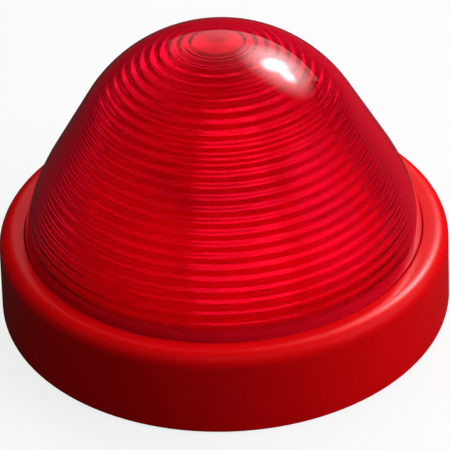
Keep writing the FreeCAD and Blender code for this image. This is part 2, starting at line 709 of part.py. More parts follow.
def terminal_pins():
    """Solder pins from the cages up through the board."""
    return Part.makeCompound([
        rod(2 * LEAD_R, CAGE_HIGH, BOARD_TOP + LEAD_TAIL, x, CAGE_Y) for x in pole_positions()
    ])


def placed(shape, radius, angle):
    """Copy of a shape set on the board at a radius and an angle, its X along the edge."""
    copy = shape.copy()
    copy.rotate(ORIGIN, UP, 90)
    copy.translate(V(radius, 0, BOARD_TOP))
    return spun(copy, angle)


def placed_points(points, radius, angle):
    """The same move for a list of points."""
    rotation = FreeCAD.Rotation(UP, angle + 90)
    x, y = polar(radius, angle)
    return [rotation.multVec(point) + V(x, y, BOARD_TOP) for point in points]


def resistor():
    """Resistor body along X with swollen ends, lying just over the board."""
    end = RESISTOR_L / 2
    cuff = end - RESISTOR_CUFF
    waist_r = RESISTOR_R - RESISTOR_WAIST
    edge = RESISTOR_R / 2
    body = turned([
        (0, -end),
        (RESISTOR_R, -end, edge),
        (RESISTOR_R, -cuff),
        (waist_r, -cuff + RESISTOR_WAIST),
        (waist_r, cuff - RESISTOR_WAIST),
        (RESISTOR_R, cuff),
        (RESISTOR_R, end, edge),
        (0, end),
    ])
    body.rotate(ORIGIN, V(0, 1, 0), 90)
    body.translate(V(0, 0, RESISTOR_R + PLAY))
    return body


def resistor_lead_points():
    """Bend points of both legs of every resistor."""
    height = RESISTOR_R + PLAY
    paths = []
    for angle in RESISTOR_ANGLES:
        for side in (-1, 1):
            start = side * RESISTOR_L / 2
            bend = side * RESISTOR_SPAN / 2
            path = [V(start, 0, height), V(bend, 0, height), V(bend, 0, TAIL_Z)]
            paths.append(placed_points(path, PARTS_CIRCLE_R, angle))
    return paths


def bridge_body():
    """Rectifier body with tapered sides."""
    middle = BRIDGE_STAND + BRIDGE_H / 2

    def level(z, inset):
        x = BRIDGE_L / 2 - inset
        y = BRIDGE_W / 2 - inset
        return Part.makePolygon([V(-x, -y, z), V(x, -y, z), V(x, y, z), V(-x, y, z), V(-x, -y, z)])

    low = Part.makeLoft([level(BRIDGE_STAND, BRIDGE_TAPER), level(middle, 0)], True)
    high = Part.makeLoft([level(middle, 0), level(BRIDGE_STAND + BRIDGE_H, BRIDGE_TAPER)], True)
    return low.fuse(high).removeSplitter()


def bridge_pin_points():
    """Bend points of the four rectifier pins."""
    middle = BRIDGE_STAND + BRIDGE_H / 2
    paths = []
    for x in (-BRIDGE_PIN_GAP / 2, BRIDGE_PIN_GAP / 2):
        for side in (-1, 1):
            start = side * BRIDGE_W / 2
            bend = start + side * BRIDGE_PIN_SPLAY
            path = [V(x, start, middle), V(x, bend, middle), V(x, bend, TAIL_Z)]
            paths.append(placed_points(path, PARTS_CIRCLE_R, BRIDGE_ANGLE))
    return paths


def capacitor_body():
    """Upright capacitor with a crimp groove near its foot."""
    edge = CAPACITOR_R / 6
    return turned([
        (0, 0),
        (CAPACITOR_R, 0, edge),
        (CAPACITOR_R, CRIMP_Z - CRIMP_W / 2),
        (CAPACITOR_R - CRIMP_DEPTH, CRIMP_Z),
        (CAPACITOR_R, CRIMP_Z + CRIMP_W / 2),
        (CAPACITOR_R, CAPACITOR_H, edge),
        (0, CAPACITOR_H),
    ])


def capacitor_lead_points():
    """Both legs of the capacitor."""
    paths = []
    for side in (-1, 1):
        x = side * LEAD_GAP / 2
        paths.append(placed_points([V(x, 0, 0), V(x, 0, TAIL_Z)], CAPACITOR_CIRCLE_R, CAPACITOR_ANGLE))
    return paths


def absorber_body():
    """Upright round pellet with soft edges."""
    half = ABSORBER_T / 2
    edge = half * 0.8
    pellet = turned([(0, -half), (ABSORBER_R, -half, edge), (ABSORBER_R, half, edge), (0, half)])
    pellet.rotate(ORIGIN, V(1, 0, 0), 90)
    pellet.translate(V(0, 0, ABSORBER_STAND + ABSORBER_R))
    return pellet


def absorber_lead_points():
    """Both legs of the surge absorber, from the height of the pellet's centre."""
    paths = []
    for side in (-1, 1):
        x = side * ABSORBER_LEAD_GAP / 2
        path = [V(x, 0, ABSORBER_STAND + ABSORBER_R), V(x, 0, TAIL_Z)]
        paths.append(placed_points(path, PARTS_CIRCLE_R, ABSORBER_ANGLE))
    return paths


def leads(paths, body=None):
    """Compound of wires through lists of points, trimmed where they would enter a body."""
    wires = [wire_lead(path) for path in paths]
    if body is not None:
        wires = [wire.cut(body) for wire in wires]
    return Part.makeCompound(wires)


def circuit_board(lead_paths):
    """Round board, drilled for the screws, the tower's pegs and every leg."""
    board = rod(BOARD_R, BOARD_LOW, BOARD_TOP)
    drills = []
    for angle in SCREW_ANGLES:
        drills.append((SCREW_R + 2 * PLAY, *polar(SCREW_CIRCLE_R, angle)))
    for angle in (0, 180):
        drills.append((PEG_R + PLAY, *polar(PEG_CIRCLE_R, angle)))
    for path in lead_paths:
        drills.append((LEAD_R + PLAY, path[-1].x, path[-1].y))
    for x in pole_positions():
        drills.append((2 * LEAD_R + PLAY, x, CAGE_Y))
    low = BOARD_LOW - OVERCUT
    high = BOARD_TOP + OVERCUT
    return board.cut([rod(radius, low, high, x, y) for radius, x, y in drills])


led_paths = led_lead_points()
resistor_paths = resistor_lead_points()
bridge_paths = bridge_pin_points()
capacitor_paths = capacitor_lead_points()
absorber_paths = absorber_lead_points()
absorber = placed(absorber_body(), PARTS_CIRCLE_R, ABSORBER_ANGLE)
resistors = [placed(resistor(), PARTS_CIRCLE_R, angle) for angle in RESISTOR_ANGLES]
board_paths = led_paths + resistor_paths + bridge_paths + capacitor_paths + absorber_paths

nodes = {
    "lens_dome": lens_dome(),
    "collar": collar(),
    "base_housing": base_housing(),
    "lens_gasket": lens_gasket(),
    "wall_gasket": wall_gasket(),
    "circuit_board": circuit_board(board_paths),
    "board_screws": board_screws(),
    "reflector": reflector(),
    "led_tower": led_tower(),
    "side_leds": Part.makeCompound(aimed(led())),
    "top_led": lifted(led()),
    "led_leads": leads(led_paths),
    "terminal_block": terminal_block(),
    "terminal_cages": terminal_cages(),
    "terminal_screws": terminal_screws(),
    "terminal_pins": terminal_pins(),
    "series_resistors": Part.makeCompound(resistors),
    "resistor_leads": leads(resistor_paths),
    "bridge_rectifier": placed(bridge_body(), PARTS_CIRCLE_R, BRIDGE_ANGLE),
    "bridge_pins": leads(bridge_paths),
    "smoothing_capacitor": placed(capacitor_body(), CAPACITOR_CIRCLE_R, CAPACITOR_ANGLE),
    "capacitor_leads": leads(capacitor_paths),
    "surge_absorber": absorber,
    "surge_absorber_leads": leads(absorber_paths, absorber),
}

os.makedirs("parts", exist_ok=True)
for name, shape in nodes.items():
    shape.exportStep("parts/" + name + ".step")
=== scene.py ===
import math

import bmesh
import bpy
from mathutils import Matrix, Vector


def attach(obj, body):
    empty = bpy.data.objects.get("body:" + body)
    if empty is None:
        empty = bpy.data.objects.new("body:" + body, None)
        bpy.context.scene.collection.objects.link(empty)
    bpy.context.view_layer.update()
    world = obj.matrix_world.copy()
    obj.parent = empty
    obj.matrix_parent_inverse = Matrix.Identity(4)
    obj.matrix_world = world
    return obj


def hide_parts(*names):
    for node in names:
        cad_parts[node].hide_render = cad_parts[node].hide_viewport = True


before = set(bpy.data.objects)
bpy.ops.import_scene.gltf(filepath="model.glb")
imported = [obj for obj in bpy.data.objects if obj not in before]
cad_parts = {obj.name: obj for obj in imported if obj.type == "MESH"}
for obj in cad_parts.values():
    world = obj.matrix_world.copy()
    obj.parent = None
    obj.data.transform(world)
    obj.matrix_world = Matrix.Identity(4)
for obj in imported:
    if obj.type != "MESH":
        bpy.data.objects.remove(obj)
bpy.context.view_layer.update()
MM = 0.001


# Base housing: the round white moulding that two screws hold to the wall box.
# Injection-moulded ABS with a fine spark-eroded texture; its four ramped ridges take the collar's lugs.
HOUSING_WHITE = (0.80, 0.79, 0.76)
WELD_GAP = 0.002 * MM
TONE_SIZE = 12 * MM
TONE_DARK_END = 0.3
TONE_LIGHT_START = 0.7
GLOSS_SPREAD = 0.15
RELIEF_STRENGTH = 0.5


def welded_copy(node, body, sharp=30.0):
    """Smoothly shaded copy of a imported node, riding on its body and standing for it."""
    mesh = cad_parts[node].data.copy()
    shell = bmesh.new()
    shell.from_mesh(mesh)
    bmesh.ops.remove_doubles(shell, verts=shell.verts, dist=WELD_GAP)
    shell.to_mesh(mesh)
    shell.free()
    mesh.materials.clear()
    mesh.shade_smooth()
    mesh.set_sharp_from_angle(angle=math.radians(sharp))
    piece = bpy.data.objects.new(node + "_finished", mesh)
    bpy.context.scene.collection.objects.link(piece)
    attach(piece, body)
    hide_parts(node)
    return piece


def link_scaled(tree, source, low, high, target):
    """Feed a 0 to 1 texture into a shader socket, spread between two values."""
    spread = tree.nodes.new("ShaderNodeMapRange")
    spread.inputs["To Min"].default_value = low
    spread.inputs["To Max"].default_value = high
    tree.links.new(source, spread.inputs["Value"])
    tree.links.new(spread.outputs["Result"], target)


def object_noise(tree, size, detail=3.0):
    """Noise on the piece's own coordinates, with grains of a size in metres."""
    place = tree.nodes.new("ShaderNodeTexCoord")
    noise = tree.nodes.new("ShaderNodeTexNoise")
    noise.inputs["Scale"].default_value = 1.0 / size
    noise.inputs["Detail"].default_value = detail
    tree.links.new(place.outputs["Object"], noise.inputs["Vector"])
    return noise.outputs["Fac"]


def two_tone(tree, factor, dark, light, target):
    """Colour between two tones, by a 0 to 1 factor."""
    ramp = tree.nodes.new("ShaderNodeValToRGB")
    ramp.color_ramp.elements[0].position = TONE_DARK_END
    ramp.color_ramp.elements[0].color = (*dark, 1)
    ramp.color_ramp.elements[1].position = TONE_LIGHT_START
    ramp.color_ramp.elements[1].color = (*light, 1)
    tree.links.new(factor, ramp.inputs["Fac"])
    tree.links.new(ramp.outputs["Color"], target)


def moulded_finish(name, colour, roughness, mottle=0.04, grain=0.25 * MM, depth=0.02 * MM, **sockets):
    """Moulded surface: slow change of tone, fine grain in the gloss and in the relief."""
    material = bpy.data.materials.new(name)
    material.use_nodes = True
    tree = material.node_tree
    shader = tree.nodes["Principled BSDF"]
    for socket, value in sockets.items():
        shader.inputs[socket.replace("_", " ")].default_value = value
    tone = object_noise(tree, TONE_SIZE)
    dark = [channel * (1 - mottle) for channel in colour]
    light = [min(1.0, channel * (1 + mottle)) for channel in colour]
    two_tone(tree, tone, dark, light, shader.inputs["Base Color"])
    texture = object_noise(tree, grain)
    smoothest = roughness * (1 - GLOSS_SPREAD)
    roughest = roughness * (1 + GLOSS_SPREAD)
    link_scaled(tree, texture, smoothest, roughest, shader.inputs["Roughness"])
    relief = tree.nodes.new("ShaderNodeBump")
    relief.inputs["Strength"].default_value = RELIEF_STRENGTH
    relief.inputs["Distance"].default_value = depth
    tree.links.new(texture, relief.inputs["Height"])
    tree.links.new(relief.outputs["Normal"], shader.inputs["Normal"])
    return material


housing = welded_copy("base_housing", "base")
housing.data.materials.append(moulded_finish("spark_textured_white", HOUSING_WHITE, roughness=0.45))


# Seals: one ring in the rear of the base against the wall, one under the flange of the dome.
# Moulded black rubber, dull with a dusty bloom; both lie loose in their grooves.
SEAL_BLACK = (0.022, 0.022, 0.024)
rubber = moulded_finish("seal_rubber_bloom", SEAL_BLACK, roughness=0.62, mottle=0.3, grain=0.15 * MM)
for ring_node in ("wall_gasket", "lens_gasket"):
    ring_seal = welded_copy(ring_node, "base")
    ring_seal.data.materials.append(rubber)


# Terminal block: two-pole screw terminal under the board, reached through a window in the base.
# Moulded glass-filled polyamide with pressed brass cages, plated clamp screws and tinned pins.
TERMINAL_BLACK = (0.03, 0.031, 0.034)
CAGE_BRASS = (0.72, 0.53, 0.26)
SCREW_STEEL = (0.62, 0.61, 0.58)
LEAD_TIN = (0.74, 0.74, 0.72)
METAL_GRAIN = 0.1 * MM
filled_black = moulded_finish("terminal_polyamide", TERMINAL_BLACK, roughness=0.4, mottle=0.15)
pressed_brass = moulded_finish("pressed_brass", CAGE_BRASS, roughness=0.3, mottle=0.1, Metallic=1.0)
plated_steel = moulded_finish(
    "plated_steel", SCREW_STEEL, roughness=0.28, mottle=0.06, grain=METAL_GRAIN, Metallic=1.0,
)
tinned_wire = moulded_finish(
    "tinned_wire", LEAD_TIN, roughness=0.25, mottle=0.05, grain=METAL_GRAIN, Metallic=1.0,
)
terminal_finishes = (
    ("terminal_block", "terminal_black", filled_black),
    ("terminal_cages", "cage_brass", pressed_brass),
    ("terminal_screws", "screw_steel", plated_steel),
    ("terminal_pins", "lead_tin", tinned_wire),
)
for terminal_node, terminal_slot, terminal_finish in terminal_finishes:
    terminal_piece = welded_copy(terminal_node, "base")
    terminal_piece.data.materials.append(terminal_finish)


# Circuit board: round glass-epoxy board on three standoffs, green lacquer over copper.
# It carries every electrical part and is clamped by the three long screws.
BOARD_GREEN = (0.012, 0.14, 0.045)
board = welded_copy("circuit_board", "base")
green_lacquer = moulded_finish("green_lacquer", BOARD_GREEN, roughness=0.3, mottle=0.2, grain=0.6 * MM)
board.data.materials.append(green_lacquer)


# Parts on the board: three series resistors, a bridge rectifier, a capacitor and a surge absorber.
# Bought-in, soldered through the board: lacquered resistors with colour rings, black and blue epoxy
# bodies, and a capacitor in a shrunk sleeve with a pale polarity stripe, all on tinned wire legs.
RESISTOR_L = 6.6 * MM
RESISTOR_ANGLES = (0, 30, 60)
RESISTOR_BEIGE = (0.62, 0.47, 0.29)
RING_SHARE = 0.08
RING_BROWN = (0.12, 0.03, 0.01)
RING_BLACK = (0.01, 0.01, 0.01)
RING_RED = (0.55, 0.02, 0.01)
RING_GOLD = (0.55, 0.36, 0.06)
RINGS = ((0.14, RING_BROWN), (0.34, RING_BLACK), (0.50, RING_RED), (0.76, RING_GOLD))
CAPACITOR_R = 3.15 * MM
SLEEVE_BLUE = (0.02, 0.03, 0.09)
STRIPE_GREY = (0.55, 0.56, 0.58)
STRIPE_EDGE = (0.78, 0.82)
CHIP_BLACK = (0.025, 0.025, 0.027)
ABSORBER_BLUE = (0.02, 0.11, 0.34)


def mark_lengths(mesh):
    """Note on every point of the resistors its share of the length along its own body."""
    mesh.attributes.new("along", "FLOAT", "POINT")
    along = mesh.attributes["along"].data
    for vertex in mesh.vertices:
        bearing = math.degrees(math.atan2(vertex.co.y, vertex.co.x))
        nearest = math.radians(min(RESISTOR_ANGLES, key=lambda angle: abs(angle - bearing)))
        run = vertex.co.y * math.cos(nearest) - vertex.co.x * math.sin(nearest)
        along[vertex.index].value = run / RESISTOR_L + 0.5


def ringed_lacquer():
    """Beige lacquer with four painted colour rings."""
    material = moulded_finish("ringed_lacquer", RESISTOR_BEIGE, roughness=0.35)
    tree = material.node_tree
    along = tree.nodes.new("ShaderNodeAttribute")
    along.attribute_name = "along"
    rings = tree.nodes.new("ShaderNodeValToRGB")
    rings.color_ramp.interpolation = "CONSTANT"
    rings.color_ramp.elements.remove(rings.color_ramp.elements[1])
    rings.color_ramp.elements[0].color = (*RESISTOR_BEIGE, 1)
    for place, colour in RINGS:
        rings.color_ramp.elements.new(place).color = (*colour, 1)
        rings.color_ramp.elements.new(place + RING_SHARE).color = (*RESISTOR_BEIGE, 1)
    tree.links.new(along.outputs["Fac"], rings.inputs["Fac"])
    tree.links.new(rings.outputs["Color"], tree.nodes["Principled BSDF"].inputs["Base Color"])
    return material


def striped_sleeve():
    """Dark sleeve with a pale stripe down its right side."""
    material = moulded_finish("striped_sleeve", SLEEVE_BLUE, roughness=0.3)
    tree = material.node_tree
    place = tree.nodes.new("ShaderNodeTexCoord")
    parts = tree.nodes.new("ShaderNodeSeparateXYZ")
    tree.links.new(place.outputs["Object"], parts.inputs["Vector"])
    stripe = tree.nodes.new("ShaderNodeMapRange")
    stripe.inputs["From Min"].default_value = STRIPE_EDGE[0] * CAPACITOR_R
    stripe.inputs["From Max"].default_value = STRIPE_EDGE[1] * CAPACITOR_R
    tree.links.new(parts.outputs["X"], stripe.inputs["Value"])
    shader = tree.nodes["Principled BSDF"]
    two_tone(tree, stripe.outputs["Result"], SLEEVE_BLUE, STRIPE_GREY, shader.inputs["Base Color"])
    return material


part_finishes = (
    ("series_resistors", "resistor_beige", ringed_lacquer()),
    ("bridge_rectifier", "chip_black", moulded_finish("chip_epoxy", CHIP_BLACK, roughness=0.5)),
    ("smoothing_capacitor", "capacitor_sleeve", striped_sleeve()),
    ("surge_absorber", "absorber_blue", moulded_finish("dipped_blue_epoxy", ABSORBER_BLUE, roughness=0.35)),
    ("resistor_leads", "lead_tin", tinned_wire),
    ("bridge_pins", "lead_tin", tinned_wire),
    ("capacitor_leads", "lead_tin", tinned_wire),
    ("surge_absorber_leads", "lead_tin", tinned_wire),
    ("led_leads", "lead_tin", tinned_wire),
)
for part_node, part_slot, part_finish in part_finishes:
    part_piece = welded_copy(part_node, "base")
    part_piece.data.materials.append(part_finish)
    if part_node == "series_resistors":
        mark_lengths(part_piece.data)


# Lamp unit: a white tower on the board with six LEDs that look outwards and one along the axis.
# The tower is moulded ABS; the LEDs are cast red epoxy, pushed in from behind.
TOWER_WHITE = (0.70, 0.69, 0.67)
LED_RED = (0.9, 0.05, 0.04)
EPOXY_IOR = 1.54
tower = welded_copy("led_tower", "base")
tower.data.materials.append(moulded_finish("tower_white_satin", TOWER_WHITE, roughness=0.4))
cast_red = moulded_finish(
    "cast_red_epoxy", LED_RED, roughness=0.12, grain=1.5 * MM, Transmission_Weight=0.2, IOR=EPOXY_IOR,
)
for led_node in ("side_leds", "top_led"):
    led_piece = welded_copy(led_node, "base")
    led_piece.data.materials.append(cast_red)


# Reflector: white cover over the electronics that throws stray light back up into the dome.
# Moulded ABS, satin, held by three pan-head screws that go on into the standoffs.
REFLECTOR_WHITE = (0.70, 0.69, 0.67)
reflector = welded_copy("reflector", "base")
reflector.data.materials.append(moulded_finish("reflector_satin", REFLECTOR_WHITE, roughness=0.35))
screws = welded_copy("board_screws", "base")
screws.data.materials.append(plated_steel)


# Lens dome: red polycarbonate, polished and smooth outside, with concentric rounded rings inside.
# Moulded in one with the flange that the collar holds down and the keyed spigot that enters the base.
LAMP_H = 62.4 * MM
FOOT_R = 43.3 * MM
FOOT_Z = 17.9 * MM
FOOT_LEAN = math.radians(13.5)
CONE_LEAN = math.radians(32.0)
SKIRT_R = 50.0 * MM
LENS_WALL = 2.2 * MM
EYE_R = 4.8 * MM
RIB_PITCH = 2.25 * MM
RIB_H = 0.17 * MM
RIB_STEPS = 12
FLANGE_R = 46.6 * MM
FLANGE_TOP = 15.5 * MM
FLANGE_LOW = 13.5 * MM
SPIGOT_R = 40.9 * MM
SPIGOT_IN_R = 38.9 * MM
SPIGOT_LOW = 10.5 * MM
KEY_W = 5.0 * MM
KEY_REACH = 0.9 * MM
KEY_SINK = 0.5 * MM
KEY_ANGLES = (90, 270)
LENS_SEGMENTS = 192
CAP_STEPS = 28
SKIRT_STEPS = 14
SEAM_GAP = 0.001 * MM
LENS_RED = (0.68, 0.003, 0.02)
GLOSS_TINT = (1.0, 0.55, 0.57)
RIB_ROUGHNESS = 0.6
RIB_GLOSS = 0.15
CLEARNESS = 0.97
FOOT_CLEARNESS = 0.25
LIMB_CLEARNESS = 0.04
LIMB_START = 0.4
LIMB_END = 0.87
FOOT_HAZE_LOW = 0.5 * MM
FOOT_HAZE_H = 4.0 * MM
LENS_IOR = 1.35
RIB_IOR = 1.49
RIB_MIRROR = 0.05

skirt_x = FOOT_R - SKIRT_R * math.cos(FOOT_LEAN)
skirt_z = FOOT_Z - SKIRT_R * math.sin(FOOT_LEAN)
shoulder_r = skirt_x + SKIRT_R * math.cos(CONE_LEAN)
shoulder_z = skirt_z + SKIRT_R * math.sin(CONE_LEAN)
cap_reach = shoulder_z + shoulder_r / math.tan(CONE_LEAN) - LAMP_H
cap_r = cap_reach / (1 / math.sin(CONE_LEAN) - 1)
cap_z = LAMP_H - cap_r
cone_l = (cap_z + cap_r * math.sin(CONE_LEAN) - shoulder_z) / math.cos(CONE_LEAN)
cap_run = (cap_r - LENS_WALL) * (math.pi / 2 - CONE_LEAN)
inner_run = cap_run + cone_l + (SKIRT_R - LENS_WALL) * (CONE_LEAN - FOOT_LEAN)


def dome_point(run, depth):
    """Place and outward direction at a run down the inner face from the apex and a depth under the skin."""
    if run < cap_run:
        lean = math.pi / 2 - run / (cap_r - LENS_WALL)
        return (cap_r - depth) * math.cos(lean), cap_z + (cap_r - depth) * math.sin(lean), lean
    if run < cap_run + cone_l:
        slide = run - cap_run
        radius = (cap_r - depth) * math.cos(CONE_LEAN) + slide * math.sin(CONE_LEAN)
        height = cap_z + (cap_r - depth) * math.sin(CONE_LEAN) - slide * math.cos(CONE_LEAN)
        return radius, height, CONE_LEAN
    lean = CONE_LEAN - (run - cap_run - cone_l) / (SKIRT_R - LENS_WALL)
    return skirt_x + (SKIRT_R - depth) * math.cos(lean), skirt_z + (SKIRT_R - depth) * math.sin(lean), lean


def turning_tree():
    """Node tree that bends wave-shaped ribs into an outline and turns it round the vertical axis."""
    tree = bpy.data.node_groups.new("turned_with_ribs", "GeometryNodeTree")
    tree.interface.new_socket("Geometry", in_out="INPUT", socket_type="NodeSocketGeometry")
    tree.interface.new_socket("Geometry", in_out="OUTPUT", socket_type="NodeSocketGeometry")
    wanted = (
        ("Segments", "NodeSocketInt"),
        ("Path radius", "NodeSocketFloat"),
        ("Rib height", "NodeSocketFloat"),
        ("Finish", "NodeSocketMaterial"),
    )
    for label, kind in wanted:
        tree.interface.new_socket(label, in_out="INPUT", socket_type=kind)
    start = tree.nodes.new("NodeGroupInput")
    end = tree.nodes.new("NodeGroupOutput")
    link = tree.links.new

    def math_node(operation, first, second=None):
        node = tree.nodes.new("ShaderNodeMath")
        node.operation = operation
        for slot_number, value in enumerate((first, second)):
            if value is None:
                continue
            if isinstance(value, (int, float)):
                node.inputs[slot_number].default_value = value
            else:
                link(value, node.inputs[slot_number])
        return node.outputs[0]

    def named(label, kind):
        node = tree.nodes.new("GeometryNodeInputNamedAttribute")
        node.data_type = kind
        node.inputs["Name"].default_value = label
        return node.outputs["Attribute"]

    wave = math_node("COSINE", math_node("MULTIPLY", named("rib_place", "FLOAT"), math.tau))
    share = math_node("MULTIPLY", math_node("SUBTRACT", 1, wave), 0.5)
    swell = math_node("MULTIPLY", share, start.outputs["Rib height"])
    inward = tree.nodes.new("ShaderNodeVectorMath")
    inward.operation = "SCALE"
    link(named("inward", "FLOAT_VECTOR"), inward.inputs[0])
    link(swell, inward.inputs["Scale"])
    ribbed = tree.nodes.new("GeometryNodeSetPosition")
    link(start.outputs["Geometry"], ribbed.inputs["Geometry"])
    link(inward.outputs["Vector"], ribbed.inputs["Offset"])

    outline = tree.nodes.new("GeometryNodeMeshToCurve")
    link(ribbed.outputs["Geometry"], outline.inputs["Mesh"])
    place = tree.nodes.new("GeometryNodeInputPosition")
    parts = tree.nodes.new("ShaderNodeSeparateXYZ")
    link(place.outputs["Position"], parts.inputs["Vector"])
    flat = tree.nodes.new("ShaderNodeCombineXYZ")
    link(math_node("SUBTRACT", parts.outputs["X"], start.outputs["Path radius"]), flat.inputs["X"])
    link(math_node("MULTIPLY", parts.outputs["Z"], -1), flat.inputs["Y"])
    section = tree.nodes.new("GeometryNodeSetPosition")
    link(outline.outputs["Curve"], section.inputs["Geometry"])
    link(flat.outputs["Vector"], section.inputs["Position"])

    path = tree.nodes.new("GeometryNodeCurvePrimitiveCircle")
    link(start.outputs["Segments"], path.inputs["Resolution"])
    link(start.outputs["Path radius"], path.inputs["Radius"])
    upright = tree.nodes.new("GeometryNodeSetCurveNormal")
    upright.mode = "Z_UP"
    link(path.outputs["Curve"], upright.inputs["Curve"])
    turned = tree.nodes.new("GeometryNodeCurveToMesh")
    link(upright.outputs["Curve"], turned.inputs["Curve"])
    link(section.outputs["Geometry"], turned.inputs["Profile Curve"])
    closed = tree.nodes.new("GeometryNodeMergeByDistance")
    closed.inputs["Distance"].default_value = SEAM_GAP
    link(turned.outputs["Mesh"], closed.inputs["Geometry"])
    real = tree.nodes.new("GeometryNodeRealizeInstances")
    link(closed.outputs["Geometry"], real.inputs["Geometry"])
    coated = tree.nodes.new("GeometryNodeSetMaterial")
    link(real.outputs["Geometry"], coated.inputs["Geometry"])
    link(start.outputs["Finish"], coated.inputs["Material"])
    link(coated.outputs["Geometry"], end.inputs["Geometry"])
    return tree


def node_mesh(name, outline, tree, **values):
    """Run a node tree on an outline object and return the result as a plain mesh."""
    holder = bpy.data.objects.new(name + "_outline", outline)
    bpy.context.scene.collection.objects.link(holder)
    modifier = holder.modifiers.new(name, "NODES")
    modifier.node_group = tree
    for item in tree.interface.items_tree:
        label = item.name.replace(" ", "_")
        if item.in_out == "INPUT" and label in values:
            modifier[item.identifier] = values[label]
    seen = holder.evaluated_get(bpy.context.evaluated_depsgraph_get())
    mesh = bpy.data.meshes.new_from_object(seen)
    mesh.name = name
    bpy.data.objects.remove(holder)
    bpy.data.meshes.remove(outline)
    return mesh


def outline_mesh(name, points):
    """Closed outline of (radius, height, rib place, inward lean) points as a mesh of edges.

    A point with a lean lies on the ribbed face, which is also the satin one.
    """
    count = len(points)
    edges = [(i, (i + 1) % count) for i in range(count)]
    mesh = bpy.data.meshes.new(name)
    mesh.from_pydata([(radius, 0, height) for radius, height, _, _ in points], edges, [])
    kinds = (("rib_place", "FLOAT"), ("inward", "FLOAT_VECTOR"), ("satin", "FLOAT"))
    for label, kind in kinds:
        mesh.attributes.new(label, kind, "POINT")
    for i, (_, _, place, lean) in enumerate(points):
        if lean is None:
            continue
        mesh.attributes["rib_place"].data[i].value = place
        mesh.attributes["inward"].data[i].vector = (-math.cos(lean), 0, -math.sin(lean))
        mesh.attributes["satin"].data[i].value = 1
    return mesh


def outward(mesh, sharp=35.0):
    """Merge doubles, turn all faces outwards and shade smoothly between real edges."""
    shell = bmesh.new()
    shell.from_mesh(mesh)
    bmesh.ops.remove_doubles(shell, verts=shell.verts, dist=SEAM_GAP)
    bmesh.ops.recalc_face_normals(shell, faces=shell.faces)
    shell.to_mesh(mesh)
    shell.free()
    mesh.shade_smooth()
    mesh.set_sharp_from_angle(angle=math.radians(sharp))
    return mesh


def add_keys(mesh):
    """Join the blocks to the spigot that stop the dome from turning in the base."""
    shell = bmesh.new()
    shell.from_mesh(mesh)
    depth = KEY_REACH + KEY_SINK
    height = FLANGE_LOW + KEY_SINK - SPIGOT_LOW
    centre = Vector((SPIGOT_R + KEY_REACH - depth / 2, 0, SPIGOT_LOW + height / 2))
    for angle in KEY_ANGLES:
        turn = Matrix.Rotation(math.radians(angle), 4, "Z")
        size = Matrix.Diagonal((depth, KEY_W, height, 1))
        bmesh.ops.create_cube(shell, size=1.0, matrix=turn @ Matrix.Translation(centre) @ size)
    shell.to_mesh(mesh)
    shell.free()


rib_count = int((inner_run - EYE_R) / RIB_PITCH)
lens_outline = []
for i in range(CAP_STEPS + 1):
    lean = math.pi / 2 - i / CAP_STEPS * (math.pi / 2 - CONE_LEAN)
    lens_outline.append((cap_r * math.cos(lean), cap_z + cap_r * math.sin(lean), 0, None))
for i in range(SKIRT_STEPS + 1):
    lean = CONE_LEAN - i / SKIRT_STEPS * (CONE_LEAN - FOOT_LEAN)
    lens_outline.append((skirt_x + SKIRT_R * math.cos(lean), skirt_z + SKIRT_R * math.sin(lean), 0, None))
lens_outline += [
    (FOOT_R, FLANGE_TOP, 0, None),
    (FLANGE_R, FLANGE_TOP, 0, None),
    (FLANGE_R, FLANGE_LOW, 0, None),
    (SPIGOT_R, FLANGE_LOW, 0, None),
    (SPIGOT_R, SPIGOT_LOW, 0, None),
    (SPIGOT_IN_R, SPIGOT_LOW, 0, None),
    (SPIGOT_IN_R, FLANGE_TOP, 0, None),
]
for i in range(rib_count * RIB_STEPS, -1, -1):
    radius, height, lean = dome_point(EYE_R + i / RIB_STEPS * RIB_PITCH, LENS_WALL)
    lens_outline.append((radius, height, i % RIB_STEPS / RIB_STEPS, lean))
lens_outline.append((0, lens_outline[-1][1], 0, None))

clear_red = bpy.data.materials.new("clear_red_polycarbonate")
clear_red.use_nodes = True
lens_tree = clear_red.node_tree
lens_shader = lens_tree.nodes["Principled BSDF"]
lens_shader.inputs["Base Color"].default_value = (*LENS_RED, 1)
lens_shader.inputs["IOR"].default_value = LENS_IOR
lens_shader.inputs["Specular Tint"].default_value = (*GLOSS_TINT, 1)
satin_face = lens_tree.nodes.new("ShaderNodeAttribute")
satin_face.attribute_name = "satin"
link_scaled(lens_tree, satin_face.outputs["Fac"], 0.0, RIB_ROUGHNESS, lens_shader.inputs["Roughness"])
lens_place = lens_tree.nodes.new("ShaderNodeTexCoord")
lens_height = lens_tree.nodes.new("ShaderNodeSeparateXYZ")
lens_tree.links.new(lens_place.outputs["Object"], lens_height.inputs["Vector"])
lens_edge = lens_tree.nodes.new("ShaderNodeLayerWeight")
clear_share = lens_tree.nodes.new("ShaderNodeMath")
clear_share.operation = "MINIMUM"
clear_ranges = (
    (lens_height.outputs["Z"], FOOT_Z + FOOT_HAZE_LOW, FOOT_Z + FOOT_HAZE_H, FOOT_CLEARNESS, CLEARNESS),
    (lens_edge.outputs["Facing"], LIMB_START, LIMB_END, CLEARNESS, LIMB_CLEARNESS),
)
for clear_number, (clear_source, first, last, first_share, last_share) in enumerate(clear_ranges):
    clear_range = lens_tree.nodes.new("ShaderNodeMapRange")
    clear_range.interpolation_type = "SMOOTHSTEP"
    clear_range.inputs["From Min"].default_value = first
    clear_range.inputs["From Max"].default_value = last
    clear_range.inputs["To Min"].default_value = first_share
    clear_range.inputs["To Max"].default_value = last_share
    lens_tree.links.new(clear_source, clear_range.inputs["Value"])
    lens_tree.links.new(clear_range.outputs["Result"], clear_share.inputs[clear_number])
lens_tree.links.new(clear_share.outputs[0], lens_shader.inputs["Transmission Weight"])
